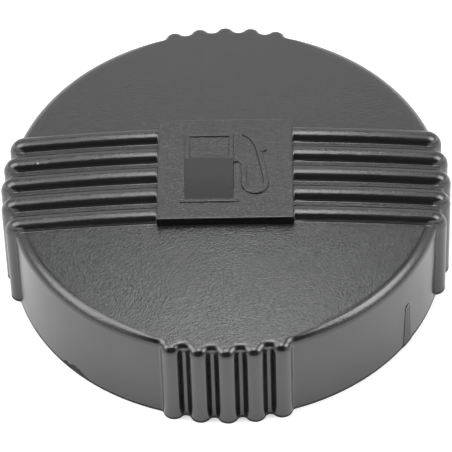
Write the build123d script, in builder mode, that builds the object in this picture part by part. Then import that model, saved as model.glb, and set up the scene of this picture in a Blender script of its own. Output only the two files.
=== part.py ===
"""Vented screw-on fuel filler cap, about 100 mm across.

Frame: +Z up, origin at the centre of the bottom rim, ribs along X. Millimetres.
"""
import os
from math import asin, degrees, radians, sqrt, tan

from build123d import *

os.makedirs("parts", exist_ok=True)

# ---- driving dimensions: cap shell, outside ----
skirt_radius = 48.6         # skirt at the height of the top edge
edge_height = 23.0          # rim to the sharp corner of skirt and dome
skirt_draft = 0.6           # degrees, the skirt widens towards the rim
dome_radius = 437.0         # crowning of the top
edge_fillet = 1.8
flute_count = 5             # flutes in a group, and ribs over the top
flute_pitch = 6.0
flute_round = 2.35          # radius of the rounded back of a flute or rib
flute_proud = 1.65
flute_foot = 1.0            # concave blend of the front and back flutes
rib_core = 1.2              # depth of a rib's flat underside in the wall
rib_bend = 0.8              # bend of that underside over the edge
rib_foot = 0.3              # concave blend of the ribs
plate_size = 30.0
plate_proud = 1.85          # plate above the dome's crown
plate_edge = 0.25
plate_root = 1.5            # depth of the plate's block in the top wall
witness_angle = -35.5       # moulding mark on the skirt, from +X
witness_height = 13.0
witness_width_low = 3.0
witness_width_high = 1.8
witness_proud = 0.12

# ---- driving dimensions: cap shell, inside ----
skirt_wall = 3.0
top_wall = 2.6
land_height = 20.2          # face that the neck gasket lies on
land_inner_radius = 36.4
mouth_relief = 0.7          # the mouth is wider than the thread's root
mouth_depth = 3.0
mouth_chamfer = 0.4
thread_pitch = 6.5
thread_turns = 1.25
thread_depth = 1.6
thread_base = 3.2
thread_crest = 1.4
thread_start = 5.2          # rim to the middle of the thread's first end
pocket_relief = 0.5         # the gasket pocket is wider than the thread's root
pocket_depth = 3.2
vent_groove_count = 4
vent_groove_width = 2.5
vent_groove_depth = 0.6
vent_slot_drop = 1.5        # slot below the gasket pocket

# ---- driving dimensions: gasket, carrier and its screws ----
gasket_thickness = 2.5
gasket_inner_radius = 37.0
gasket_gap = 0.3            # round the gasket, inside and out
carrier_plate = 2.0
clamp_width = 2.4           # carrier rim under the gasket's inner edge
rim_lip_wall = 1.6
rim_lip_gap = 0.25          # lip top to the shell's land
housing_inner_radius = 13.2
housing_wall = 1.9
housing_depth = 12.4        # carrier plate's underside to the housing's mouth
stiffener_count = 6
stiffener_thickness = 1.5
stiffener_height = 2.4
screw_count = 3
screw_circle = 27.0
screw_radius = 1.45
screw_head_radius = 2.8
screw_head_height = 1.9
screw_length = 7.0          # under the head
screw_cross = 0.45          # half width of the drive cross
screw_cross_span = 3.4
screw_cross_depth = 1.1
thread_clearance = 0.05
hole_clearance = 0.25
boss_wall = 2.1
filter_thickness = 2.4
filter_inner_radius = 3.4
filter_outer_radius = 10.6
filter_gap = 0.3
filter_collar_wall = 1.2
filter_collar_height = 1.6
vent_hole_count = 4
vent_hole_radius = 1.2
vent_hole_circle = 6.0

# ---- driving dimensions: pressure and vacuum valve ----
seat_plate_thickness = 1.8
seat_gap = 0.05
seat_recess = 0.9           # housing mouth to the seat plate's underside
seat_step = 0.8             # shoulder in the housing that the seat plate stops on
seat_opening_inset = 1.6    # middle of the lip to the opening's wall
seat_lip_inset = 1.6        # seal's edge to the middle of the lip
seat_lip_width = 0.8
seat_lip_height = 1.0
seal_thickness = 1.2
seal_inset = 0.5            # seal's edge inside the valve plate's
seal_overlap = 1.9          # poppet over the seal's inner edge
valve_plate_gap = 1.1       # round the valve plate in the housing
valve_plate_thickness = 1.0
valve_rim_wall = 0.7
valve_rim_height = 0.9
hub_radius = 2.5
hub_height = 1.0
breather_count = 4
breather_radius = 0.7
breather_circle = 3.55
stem_radius = 1.4
stem_clearance = 0.06
poppet_gap = 1.1            # round the poppet in the seat's opening
poppet_thickness = 1.0
stem_groove_depth = 0.3
stem_tip = 0.7
clip_radius = 2.7
clip_thickness = 0.5
clip_clearance = 0.04
vacuum_spring_length = 2.7
vacuum_spring_wire = 0.22   # half the wire's thickness
vacuum_spring_turns = 2.5
pressure_spring_wire = 0.45
pressure_spring_gap = 0.75  # wire to the valve plate's rim
pressure_spring_turns = 3.0
spring_end_gap = 0.02

# ---- driving dimensions: splash baffle ----
baffle_gap = 0.15           # round the valve housing
baffle_wall = 1.3
baffle_floor = 1.2
baffle_overlap = 4.6        # height over the housing's wall
baffle_window_count = 6
baffle_window_width = 7.0
baffle_window_height = 1.6
baffle_standoff = 1.6       # housing mouth to the baffle's floor
baffle_post_count = 3
baffle_post_radius = 0.9
bead_proud = 0.35
bead_height = 1.0
bead_drop = 2.6             # housing mouth to the bead's middle
bead_clearance = 0.1

# ---- places that follow from them ----
draft = tan(radians(skirt_draft))
rim_radius = skirt_radius + edge_height * draft
dome_centre = edge_height - sqrt(dome_radius**2 - skirt_radius**2)
crown_height = dome_centre + dome_radius
plate_top = crown_height + plate_proud
flute_sink = flute_round - flute_proud          # flute axis under the surface
flute_step = degrees(asin(flute_pitch / skirt_radius))
flute_places = [i - (flute_count - 1) / 2 for i in range(flute_count)]

thread_root = skirt_radius - skirt_wall
mouth_radius = thread_root + mouth_relief
pocket_radius = thread_root + pocket_relief
gasket_outer_radius = pocket_radius - gasket_gap
carrier_top = land_height - gasket_thickness
carrier_low = carrier_top - carrier_plate
carrier_radius = gasket_inner_radius + clamp_width
rim_lip_radius = gasket_inner_radius - gasket_gap
housing_outer_radius = housing_inner_radius + housing_wall
housing_mouth = carrier_low - housing_depth
pilot_radius = screw_radius + thread_clearance
boss_radius = pilot_radius + boss_wall

valve_plate_radius = housing_inner_radius - seat_step - valve_plate_gap
seal_outer_radius = valve_plate_radius - seal_inset
seat_lip_radius = seal_outer_radius - seat_lip_inset
seat_opening_radius = seat_lip_radius - seat_opening_inset
poppet_radius = seat_opening_radius - poppet_gap
seal_inner_radius = poppet_radius - seal_overlap
pressure_spring_radius = valve_plate_radius - valve_rim_wall - pressure_spring_gap - pressure_spring_wire

seat_plate_low = housing_mouth + seat_recess
seat_plate_high = seat_plate_low + seat_plate_thickness
seat_plane = seat_plate_high + seat_lip_height  # where lip, seal and poppet meet
seal_top = seat_plane + seal_thickness
valve_plate_top = seal_top + valve_plate_thickness
hub_top = valve_plate_top + hub_height
clip_low = hub_top + vacuum_spring_length
baffle_floor_top = housing_mouth - baffle_standoff
baffle_inner_radius = housing_outer_radius + baffle_gap
baffle_outer_radius = baffle_inner_radius + baffle_wall


def dome_height(radius, depth=0.0):
    """Height at a radius of the dome's surface, or of one that depth under it."""
    return dome_centre + sqrt((dome_radius - depth) ** 2 - radius**2)


# ================= cap shell: one moulding =================
# coarse neck thread: a trapezoid carried along a helix on the thread wall
with BuildPart() as neck_thread:
    with BuildLine() as thread_path:
        Helix(thread_pitch, thread_turns * thread_pitch, thread_root, center=(0, 0, thread_start))
    with BuildSketch(Plane(thread_path.line @ 0, x_dir=(-1, 0, 0), z_dir=thread_path.line % 0)):
        with BuildLine():
            Polyline(
                (-thread_depth / 4, -thread_base / 2), (0, -thread_base / 2),
                (thread_depth, -thread_crest / 2), (thread_depth, thread_crest / 2),
                (0, thread_base / 2), (-thread_depth / 4, thread_base / 2),
                close=True,
            )
        make_face()
    sweep(path=thread_path.line, is_frenet=True)

# moulding mark: a slim tongue that stands out of the skirt by the rim
with BuildPart() as witness_mark:
    with BuildSketch(Plane.YZ.rotated((0, 0, witness_angle))):
        with BuildLine():
            tongue_shoulder = witness_height - witness_width_high / 2
            Polyline(
                (-witness_width_high / 2, tongue_shoulder), (-witness_width_low / 2, 0),
                (witness_width_low / 2, 0), (witness_width_high / 2, tongue_shoulder),
            )
            ThreePointArc(
                (witness_width_high / 2, tongue_shoulder), (0, witness_height),
                (-witness_width_high / 2, tongue_shoulder),
            )
        make_face()
    extrude(amount=2 * skirt_radius)
    Cone(
        rim_radius + witness_proud, skirt_radius + witness_proud, edge_height,
        align=(Align.CENTER, Align.CENTER, Align.MIN), mode=Mode.INTERSECT,
    )
    Cylinder(
        skirt_radius - skirt_wall / 2, edge_height,
        align=(Align.CENTER, Align.CENTER, Align.MIN), mode=Mode.SUBTRACT,
    )

with BuildPart() as cap_shell:
    # drafted skirt, and the front and back flutes, which lean with it
    with Locations(Location((0, 0, 0), (0, 0, 45))):
        Cone(
            rim_radius, rim_radius - plate_top * draft, plate_top,
            align=(Align.CENTER, Align.CENTER, Align.MIN),
        )
    for side in (90, 270):
        for place in flute_places:
            around = Rotation(0, 0, side + place * flute_step)
            lean = Pos(rim_radius - flute_sink, 0) * Rotation(0, -skirt_draft, 0)
            inward = Rotation(0, 0, 180)
            with BuildSketch(Plane(around * lean * inward)):
                Circle(flute_round)
            extrude(amount=plate_top, both=True)
    split(bisect_by=Plane.XY, keep=Keep.TOP)
    flute_feet = [
        edge for edge in cap_shell.edges()
        if edge.length > edge_height / 2 and abs(edge.center().Y) > skirt_radius * 0.9
    ]
    fillet(flute_feet, radius=flute_foot)

    # the dome trims the top, and the whole edge is rounded
    dome_reach = skirt_radius + 3 * flute_proud
    with BuildSketch(Plane.XZ.rotated((0, 0, 45))):
        with BuildLine():
            ThreePointArc(
                (0, crown_height),
                (dome_reach / 2, dome_height(dome_reach / 2)),
                (dome_reach, dome_height(dome_reach)),
            )
            Polyline((dome_reach, dome_height(dome_reach)), (dome_reach, 0), (0, 0), (0, crown_height))
        make_face()
    revolve(axis=Axis.Z, mode=Mode.INTERSECT)
    fillet(cap_shell.faces().sort_by(Axis.Z)[-1].edges(), radius=edge_fillet)

    # hollow inside: dome, gasket land, gasket pocket, thread wall and mouth
    pocket_low = land_height - pocket_depth
    with BuildSketch(Plane.XZ.rotated((0, 0, 45))):
        with BuildLine():
            hollow_top = dome_height(0, top_wall)
            hollow_edge = dome_height(land_inner_radius, top_wall)
            ThreePointArc(
                (0, hollow_top),
                (land_inner_radius / 2, dome_height(land_inner_radius / 2, top_wall)),
                (land_inner_radius, hollow_edge),
            )
            Polyline(
                (land_inner_radius, hollow_edge), (land_inner_radius, land_height),
                (pocket_radius, land_height), (pocket_radius, pocket_low),
                (thread_root, pocket_low), (thread_root, mouth_depth),
                (mouth_radius, mouth_depth), (mouth_radius, mouth_chamfer),
                (mouth_radius + mouth_chamfer, 0), (0, 0), (0, hollow_top),
            )
        make_face()
    revolve(axis=Axis.Z, mode=Mode.SUBTRACT)

    # bosses for the carrier screws, run up into the top wall, with blind pilots
    with BuildSketch(Plane.XY.offset(carrier_top)) as boss_plan:
        with PolarLocations(screw_circle, screw_count, start_angle=90):
            Circle(boss_radius)
    extrude(amount=dome_height(screw_circle, top_wall / 2) - carrier_top)
    with BuildSketch(Plane.XY.offset(carrier_top)) as pilot_plan:
        with PolarLocations(screw_circle, screw_count, start_angle=90):
            Circle(pilot_radius)
    extrude(amount=screw_length - carrier_plate + hole_clearance, mode=Mode.SUBTRACT)

    # vent grooves cross the land over the gasket and go down beside it
    slot_reach = pocket_radius + vent_groove_depth
    with BuildSketch(Plane.XY.offset(land_height)) as groove_plan:
        with PolarLocations((land_inner_radius + slot_reach) / 2, vent_groove_count, start_angle=45):
            Rectangle(slot_reach - land_inner_radius + vent_groove_depth, vent_groove_width)
    extrude(amount=vent_groove_depth, mode=Mode.SUBTRACT)
    with BuildSketch(Plane.XY.offset(pocket_low - vent_slot_drop)) as slot_plan:
        with PolarLocations(slot_reach - vent_groove_depth, vent_groove_count, start_angle=45):
            Rectangle(2 * vent_groove_depth, vent_groove_width)
    extrude(amount=pocket_depth + vent_slot_drop + vent_groove_depth, mode=Mode.SUBTRACT)

    add(neck_thread.part)
    add(witness_mark.part)

    # square plate in the middle of the top
    with BuildSketch(Plane.XY.offset(crown_height - plate_root)):
        Rectangle(plate_size, plate_size)
    extrude(amount=plate_root + plate_proud)

    # ribs over the top along X and down both sides, ended at the rim
    for place in flute_places:
        rib_y = place * flute_pitch
        core_x = sqrt(skirt_radius**2 - rib_y**2) - rib_core
        core_radius = sqrt(dome_radius**2 - rib_y**2) - rib_core
        core_top = dome_centre + sqrt(core_radius**2 - core_x**2)
        foot_x = core_x + core_top * draft
        with BuildLine(Plane.XZ.offset(-rib_y)) as rib_path:
            Line((-foot_x, 0), (-core_x, core_top))
            ThreePointArc((-core_x, core_top), (0, dome_centre + core_radius), (core_x, core_top))
            Line((core_x, core_top), (foot_x, 0))
            fillet(rib_path.vertices().sort_by(Axis.Z)[-2:], radius=rib_bend)
        with BuildSketch(Plane((-foot_x, rib_y, 0), x_dir=(-1, 0, 0), z_dir=(0, 0, -1))) as rib_section:
            with Locations((rib_core - flute_sink, 0)):
                Circle(flute_round)
            Rectangle(
                2 * flute_round, 2 * flute_round,
                align=(Align.MAX, Align.CENTER), mode=Mode.SUBTRACT,
            )
        sweep(sections=rib_section.sketch, path=rib_path.wire())
    rib_reach = (flute_count - 1) / 2 * flute_pitch + 2 * flute_round
    rib_feet = [
        edge for edge in cap_shell.edges().filter_by(GeomType.BSPLINE)
        if abs(edge.center().Y) < rib_reach and edge.center().Z > rib_foot
    ]
    fillet(rib_feet, radius=rib_foot)

    plate_rim = cap_shell.edges().filter_by_position(Axis.Z, plate_top - 0.01, plate_top + 0.01)
    fillet(plate_rim, radius=plate_edge)
cap_shell.part.label = "cap_shell"
export_step(cap_shell.part, "parts/cap_shell.step")

# ================= neck gasket: flat rubber ring =================
with BuildPart() as neck_gasket:
    with BuildSketch(Plane.XY.offset(carrier_top)):
        Circle(gasket_outer_radius)
        Circle(gasket_inner_radius, mode=Mode.SUBTRACT)
    extrude(amount=gasket_thickness)
neck_gasket.part.label = "neck_gasket"
export_step(neck_gasket.part, "parts/neck_gasket.step")

# ================= valve carrier: disc with the valve housing under it =================
with BuildPart() as valve_carrier:
    with BuildSketch(Plane.XY.offset(carrier_low)):
        Circle(carrier_radius)
    extrude(amount=carrier_plate)
    # lip that centres the gasket, collar round the filter, housing wall
    with BuildSketch(Plane.XY.offset(carrier_top)):
        Circle(rim_lip_radius)
        Circle(rim_lip_radius - rim_lip_wall, mode=Mode.SUBTRACT)
    extrude(amount=gasket_thickness - rim_lip_gap)
    with BuildSketch(Plane.XY.offset(carrier_top)):
        Circle(filter_outer_radius + filter_gap + filter_collar_wall)
        Circle(filter_outer_radius + filter_gap, mode=Mode.SUBTRACT)
    extrude(amount=filter_collar_height)
    with BuildSketch(Plane.XY.offset(carrier_low)):
        Circle(housing_outer_radius)
        Circle(housing_inner_radius - seat_step, mode=Mode.SUBTRACT)
    extrude(amount=-housing_depth)
    with BuildSketch(Plane.XY.offset(housing_mouth)):
        Circle(housing_inner_radius)
    extrude(amount=seat_plate_high - housing_mouth, mode=Mode.SUBTRACT)
    # snap bead for the baffle
    with BuildSketch(Plane.XZ):
        with BuildLine():
            bead_middle = housing_mouth + bead_drop
            Polyline(
                (housing_outer_radius - bead_proud, bead_middle - bead_height / 2),
                (housing_outer_radius, bead_middle - bead_height / 2),
                (housing_outer_radius + bead_proud, bead_middle),
                (housing_outer_radius, bead_middle + bead_height / 2),
                (housing_outer_radius - bead_proud, bead_middle + bead_height / 2),
                close=True,
            )
        make_face()
    revolve(axis=Axis.Z)
    # stiffeners under the disc, between the housing and the rim
    with BuildSketch(Plane.XY.offset(carrier_low)):
        Circle(rim_lip_radius)
        Circle(rim_lip_radius - rim_lip_wall, mode=Mode.SUBTRACT)
        with PolarLocations((housing_inner_radius + rim_lip_radius) / 2, stiffener_count):
            Rectangle(rim_lip_radius - housing_inner_radius - housing_wall, stiffener_thickness)
    extrude(amount=-stiffener_height)
    # screw holes and vent holes
    with Locations((0, 0, carrier_top)):
        with PolarLocations(screw_circle, screw_count, start_angle=90):
            Hole(screw_radius + hole_clearance, depth=carrier_plate)
        with PolarLocations(vent_hole_circle, vent_hole_count, start_angle=45):
            Hole(vent_hole_radius, depth=carrier_plate)
valve_carrier.part.label = "valve_carrier"
export_step(valve_carrier.part, "parts/valve_carrier.step")

# ================= three self-tapping screws =================
with BuildPart() as carrier_screws:
    with BuildSketch(Plane.XY.offset(carrier_low)):
        with PolarLocations(screw_circle, screw_count, start_angle=90):
            Circle(screw_radius)
    extrude(amount=screw_length)
    with BuildSketch(Plane.XY.offset(carrier_low)):
        with PolarLocations(screw_circle, screw_count, start_angle=90):
            Circle(screw_head_radius)
    extrude(amount=-screw_head_height)
    head_rims = carrier_screws.edges().filter_by(GeomType.CIRCLE).group_by(Axis.Z)[0]
    fillet(head_rims, radius=screw_head_height / 2)
    with BuildSketch(Plane.XY.offset(carrier_low - screw_head_height)):
        with PolarLocations(screw_circle, screw_count, start_angle=90):
            Rectangle(screw_cross_span, 2 * screw_cross)
            Rectangle(2 * screw_cross, screw_cross_span)
    extrude(amount=screw_cross_depth, mode=Mode.SUBTRACT)
carrier_screws.part.label = "carrier_screws"
export_step(carrier_screws.part, "parts/carrier_screws.step")

# ================= vent filter: felt ring over the vent holes =================
with BuildPart() as vent_filter:
    with BuildSketch(Plane.XY.offset(carrier_top)):
        Circle(filter_outer_radius)
        Circle(filter_inner_radius, mode=Mode.SUBTRACT)
    extrude(amount=filter_thickness)
vent_filter.part.label = "vent_filter"
export_step(vent_filter.part, "parts/vent_filter.step")

# ================= seat plate with its raised sealing lip =================
with BuildPart() as seat_plate:
    with BuildSketch(Plane.XY.offset(seat_plate_low)):
        Circle(housing_inner_radius - seat_gap)
        Circle(seat_opening_radius, mode=Mode.SUBTRACT)
    extrude(amount=seat_plate_thickness)
    with BuildSketch(Plane.XY.offset(seat_plate_high)):
        Circle(seat_lip_radius + seat_lip_width / 2)
        Circle(seat_lip_radius - seat_lip_width / 2, mode=Mode.SUBTRACT)
    extrude(amount=seat_lip_height)
seat_plate.part.label = "seat_plate"
export_step(seat_plate.part, "parts/seat_plate.step")

# ================= pressure valve: plate with guide hub, and its rubber seal =================
with BuildPart() as pressure_plate:
    with BuildSketch(Plane.XY.offset(seal_top)):
        Circle(valve_plate_radius)
    extrude(amount=valve_plate_thickness)
    with BuildSketch(Plane.XY.offset(valve_plate_top)):
        Circle(valve_plate_radius)
        Circle(valve_plate_radius - valve_rim_wall, mode=Mode.SUBTRACT)
    extrude(amount=valve_rim_height)
    with BuildSketch(Plane.XY.offset(valve_plate_top)):
        Circle(hub_radius)
    extrude(amount=hub_height)
    with Locations((0, 0, hub_top)):
        Hole(stem_radius + stem_clearance, depth=hub_height + valve_plate_thickness)
    with Locations((0, 0, valve_plate_top)):
        with PolarLocations(breather_circle, breather_count):
            Hole(breather_radius, depth=valve_plate_thickness)
pressure_plate.part.label = "pressure_plate"
export_step(pressure_plate.part, "parts/pressure_plate.step")

with BuildPart() as valve_seal:
    with BuildSketch(Plane.XY.offset(seat_plane)):
        Circle(seal_outer_radius)
        Circle(seal_inner_radius, mode=Mode.SUBTRACT)
    extrude(amount=seal_thickness)
valve_seal.part.label = "valve_seal"
export_step(valve_seal.part, "parts/valve_seal.step")

# ================= vacuum valve: headed stem and its push-on clip =================
with BuildPart() as vacuum_poppet:
    with BuildSketch(Plane.XY.offset(seat_plane)):
        Circle(poppet_radius)
    extrude(amount=-poppet_thickness)
    with BuildSketch(Plane.XY.offset(seat_plane)):
        Circle(stem_radius)
    extrude(amount=clip_low + clip_thickness + stem_tip - seat_plane)
    fillet(vacuum_poppet.edges().sort_by(Axis.Z)[-1], radius=stem_tip / 2)
    with BuildSketch(Plane.XY.offset(clip_low)):
        Circle(2 * stem_radius)
        Circle(stem_radius - stem_groove_depth, mode=Mode.SUBTRACT)
    extrude(amount=clip_thickness, mode=Mode.SUBTRACT)
vacuum_poppet.part.label = "vacuum_poppet"
export_step(vacuum_poppet.part, "parts/vacuum_poppet.step")

with BuildPart() as poppet_clip:
    with BuildSketch(Plane.XY.offset(clip_low)):
        Circle(clip_radius)
        Circle(stem_radius - stem_groove_depth + clip_clearance, mode=Mode.SUBTRACT)
    extrude(amount=clip_thickness)
poppet_clip.part.label = "poppet_clip"
export_step(poppet_clip.part, "parts/poppet_clip.step")


def coil_spring(low, high, coil_radius, wire_radius, turns):
    """Compression spring of six-sided wire that stands between two faces."""
    coil_low = low + wire_radius + spring_end_gap
    coil_rise = high - low - 2 * (wire_radius + spring_end_gap)
    with BuildPart() as spring:
        with BuildLine() as spring_path:
            Helix(coil_rise / turns, coil_rise, coil_radius, center=(0, 0, coil_low))
        with BuildSketch(Plane(spring_path.line @ 0, x_dir=(1, 0, 0), z_dir=spring_path.line % 0)):
            RegularPolygon(wire_radius, 6)
        sweep(path=spring_path.line, is_frenet=True)
    return spring.part


# ================= the two return springs =================
pressure_spring = coil_spring(
    valve_plate_top, carrier_low, pressure_spring_radius, pressure_spring_wire, pressure_spring_turns
)
pressure_spring.label = "pressure_spring"
export_step(pressure_spring, "parts/pressure_spring.step")

vacuum_spring = coil_spring(
    hub_top, clip_low, (stem_radius + hub_radius) / 2, vacuum_spring_wire, vacuum_spring_turns
)
vacuum_spring.label = "vacuum_spring"
export_step(vacuum_spring, "parts/vacuum_spring.step")

# ================= splash baffle: cup snapped over the housing =================
with BuildPart() as splash_baffle:
    baffle_low = baffle_floor_top - baffle_floor
    with BuildSketch(Plane.XY.offset(baffle_low)):
        Circle(baffle_outer_radius)
    extrude(amount=baffle_floor + baffle_standoff + baffle_overlap)
    with BuildSketch(Plane.XY.offset(baffle_floor_top)):
        Circle(baffle_inner_radius)
    extrude(amount=baffle_standoff + baffle_overlap, mode=Mode.SUBTRACT)
    fillet(splash_baffle.edges().filter_by(GeomType.CIRCLE).group_by(Axis.Z)[0], radius=baffle_floor / 2)
    # windows all round under the housing's mouth
    with BuildSketch(Plane.XY.offset(baffle_floor_top)):
        with PolarLocations(baffle_outer_radius, baffle_window_count, start_angle=30):
            Rectangle(4 * baffle_wall, baffle_window_width)
    extrude(amount=baffle_window_height, mode=Mode.SUBTRACT)
    # groove for the snap bead
    with BuildSketch(Plane.XZ):
        with BuildLine():
            Polyline(
                (baffle_inner_radius - bead_clearance, bead_middle - bead_height / 2 - bead_clearance),
                (baffle_inner_radius, bead_middle - bead_height / 2 - bead_clearance),
                (housing_outer_radius + bead_proud + bead_clearance, bead_middle),
                (baffle_inner_radius, bead_middle + bead_height / 2 + bead_clearance),
                (baffle_inner_radius - bead_clearance, bead_middle + bead_height / 2 + bead_clearance),
                close=True,
            )
        make_face()
    revolve(axis=Axis.Z, mode=Mode.SUBTRACT)
    # posts that hold the seat plate up against its shoulder
    with BuildSketch(Plane.XY.offset(baffle_floor_top)):
        with PolarLocations((seat_opening_radius + housing_inner_radius) / 2, baffle_post_count):
            Circle(baffle_post_radius)
    extrude(amount=seat_plate_low - baffle_floor_top)
splash_baffle.part.label = "splash_baffle"
export_step(splash_baffle.part, "parts/splash_baffle.step")
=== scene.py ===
import math

import bmesh
import bpy
import numpy as np
from mathutils import Matrix, Vector


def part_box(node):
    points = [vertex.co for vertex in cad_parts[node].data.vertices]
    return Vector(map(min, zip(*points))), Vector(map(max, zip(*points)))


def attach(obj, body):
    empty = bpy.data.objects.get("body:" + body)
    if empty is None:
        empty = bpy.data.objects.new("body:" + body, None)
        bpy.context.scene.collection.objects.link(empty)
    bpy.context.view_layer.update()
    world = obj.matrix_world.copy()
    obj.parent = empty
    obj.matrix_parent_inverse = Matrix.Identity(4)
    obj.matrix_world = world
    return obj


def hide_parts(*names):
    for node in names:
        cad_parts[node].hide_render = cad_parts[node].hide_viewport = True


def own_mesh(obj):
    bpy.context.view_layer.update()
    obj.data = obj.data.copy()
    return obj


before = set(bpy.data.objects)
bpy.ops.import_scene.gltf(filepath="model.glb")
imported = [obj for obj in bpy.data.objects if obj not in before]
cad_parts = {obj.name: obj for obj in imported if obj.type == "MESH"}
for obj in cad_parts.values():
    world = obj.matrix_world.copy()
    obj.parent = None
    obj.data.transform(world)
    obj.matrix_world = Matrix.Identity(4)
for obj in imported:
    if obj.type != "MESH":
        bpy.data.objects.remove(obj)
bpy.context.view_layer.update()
print("frame loaded:", len(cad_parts), "nodes")


# small helpers for shader nodes

def addNode(tree, kind, place=(0, 0), **settings):
    node = tree.nodes.new(kind)
    node.location = place
    for name, value in settings.items():
        setattr(node, name, value)
    return node


def startMaterial(name):
    # an empty node material with its Principled shader already on the output
    material = bpy.data.materials.new(name)
    material.use_nodes = True
    tree = material.node_tree
    tree.nodes.clear()
    output = addNode(tree, "ShaderNodeOutputMaterial", (900, 0))
    shader = addNode(tree, "ShaderNodeBsdfPrincipled", (600, 0))
    tree.links.new(shader.outputs["BSDF"], output.inputs["Surface"])
    return material, tree, shader


def startGroup(name, inputs, outputs):
    tree = bpy.data.node_groups.new(name, "ShaderNodeTree")
    for label, kind, value in inputs:
        socket = tree.interface.new_socket(label, in_out="INPUT", socket_type=kind)
        if value is not None:
            socket.default_value = value
    for label, kind in outputs:
        tree.interface.new_socket(label, in_out="OUTPUT", socket_type=kind)
    return tree, addNode(tree, "NodeGroupInput", (-900, 0)), addNode(tree, "NodeGroupOutput", (900, 0))


def mathNode(tree, operation, first, second, place=(0, 0), clamp=False):
    # either value may be a number or another node's output
    node = addNode(tree, "ShaderNodeMath", place, operation=operation, use_clamp=clamp)
    for slot, value in enumerate((first, second)):
        if isinstance(value, (int, float)):
            node.inputs[slot].default_value = value
        elif value is not None:
            tree.links.new(value, node.inputs[slot])
    return node.outputs[0]


def rangeNode(tree, value, low, high, outLow=0.0, outHigh=1.0, place=(0, 0)):
    # smooth step of a value from one range to another
    node = addNode(tree, "ShaderNodeMapRange", place, interpolation_type="SMOOTHSTEP")
    tree.links.new(value, node.inputs["Value"])
    for label, number in (("From Min", low), ("From Max", high), ("To Min", outLow), ("To Max", outHigh)):
        node.inputs[label].default_value = number
    return node.outputs["Result"]


def mixColour(tree, factor, first, second, place=(0, 0)):
    node = addNode(tree, "ShaderNodeMix", place, data_type="RGBA")
    tree.links.new(factor, node.inputs[0])
    for slot, value in ((6, first), (7, second)):
        if isinstance(value, tuple):
            node.inputs[slot].default_value = (*value, 1.0)
        else:
            tree.links.new(value, node.inputs[slot])
    return node.outputs[2]


# shared effects, each built once

grainForm = {"smoothness": 0.6, "cellShare": 0.55, "shade": (0.32, 0.68)}


def makeGrainGroup():
    # spark-eroded mould grain: a fine cell pattern broken up by noise, and the same grain as a faint shade
    tree, source, sink = startGroup(
        "mouldGrain",
        [("Vector", "NodeSocketVector", None), ("Scale", "NodeSocketFloat", 1.0)],
        [("Height", "NodeSocketFloat"), ("Shade", "NodeSocketFloat")],
    )
    cells = addNode(tree, "ShaderNodeTexVoronoi", (-600, 200), feature="SMOOTH_F1")
    cells.inputs["Smoothness"].default_value = grainForm["smoothness"]
    speckle = addNode(tree, "ShaderNodeTexNoise", (-600, -150))
    speckle.inputs["Detail"].default_value = 1.0
    speckle.inputs["Roughness"].default_value = 0.5
    for texture in (cells, speckle):
        tree.links.new(source.outputs["Vector"], texture.inputs["Vector"])
        tree.links.new(source.outputs["Scale"], texture.inputs["Scale"])
    hollows = mathNode(tree, "MULTIPLY", cells.outputs["Distance"], grainForm["cellShare"], (-300, 200))
    height = mathNode(tree, "ADD", hollows, speckle.outputs["Fac"], (-100, 100))
    shade = rangeNode(tree, speckle.outputs["Fac"], *grainForm["shade"], place=(-100, -150))
    tree.links.new(height, sink.inputs["Height"])
    tree.links.new(shade, sink.inputs["Shade"])
    return tree


def makeFleckGroup():
    # sparse dust: a few cells of a wide Voronoi keep a tiny round spot in their middle
    tree, source, sink = startGroup(
        "dustFlecks",
        [("Vector", "NodeSocketVector", None), ("Scale", "NodeSocketFloat", 1.0),
         ("Share", "NodeSocketFloat", 0.1), ("Size", "NodeSocketFloat", 0.05)],
        [("Mask", "NodeSocketFloat")],
    )
    cells = addNode(tree, "ShaderNodeTexVoronoi", (-600, 0))
    tree.links.new(source.outputs["Vector"], cells.inputs["Vector"])
    tree.links.new(source.outputs["Scale"], cells.inputs["Scale"])
    tint = addNode(tree, "ShaderNodeSeparateColor", (-400, -150))
    tree.links.new(cells.outputs["Color"], tint.inputs[0])
    chosen = mathNode(tree, "LESS_THAN", tint.outputs[0], source.outputs["Share"], (-200, -150))
    reach = mathNode(tree, "MULTIPLY", tint.outputs[1], source.outputs["Size"], (-200, -320))
    small = mathNode(tree, "LESS_THAN", cells.outputs["Distance"], reach, (0, 50))
    tree.links.new(mathNode(tree, "MULTIPLY", chosen, small, (300, 0)), sink.inputs["Mask"])
    return tree


scuffForm = {"turn": 0.6, "stretch": 9.0, "cloudScale": 0.35, "lines": (0.62, 0.72), "clouds": (0.4, 0.65)}


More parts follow.
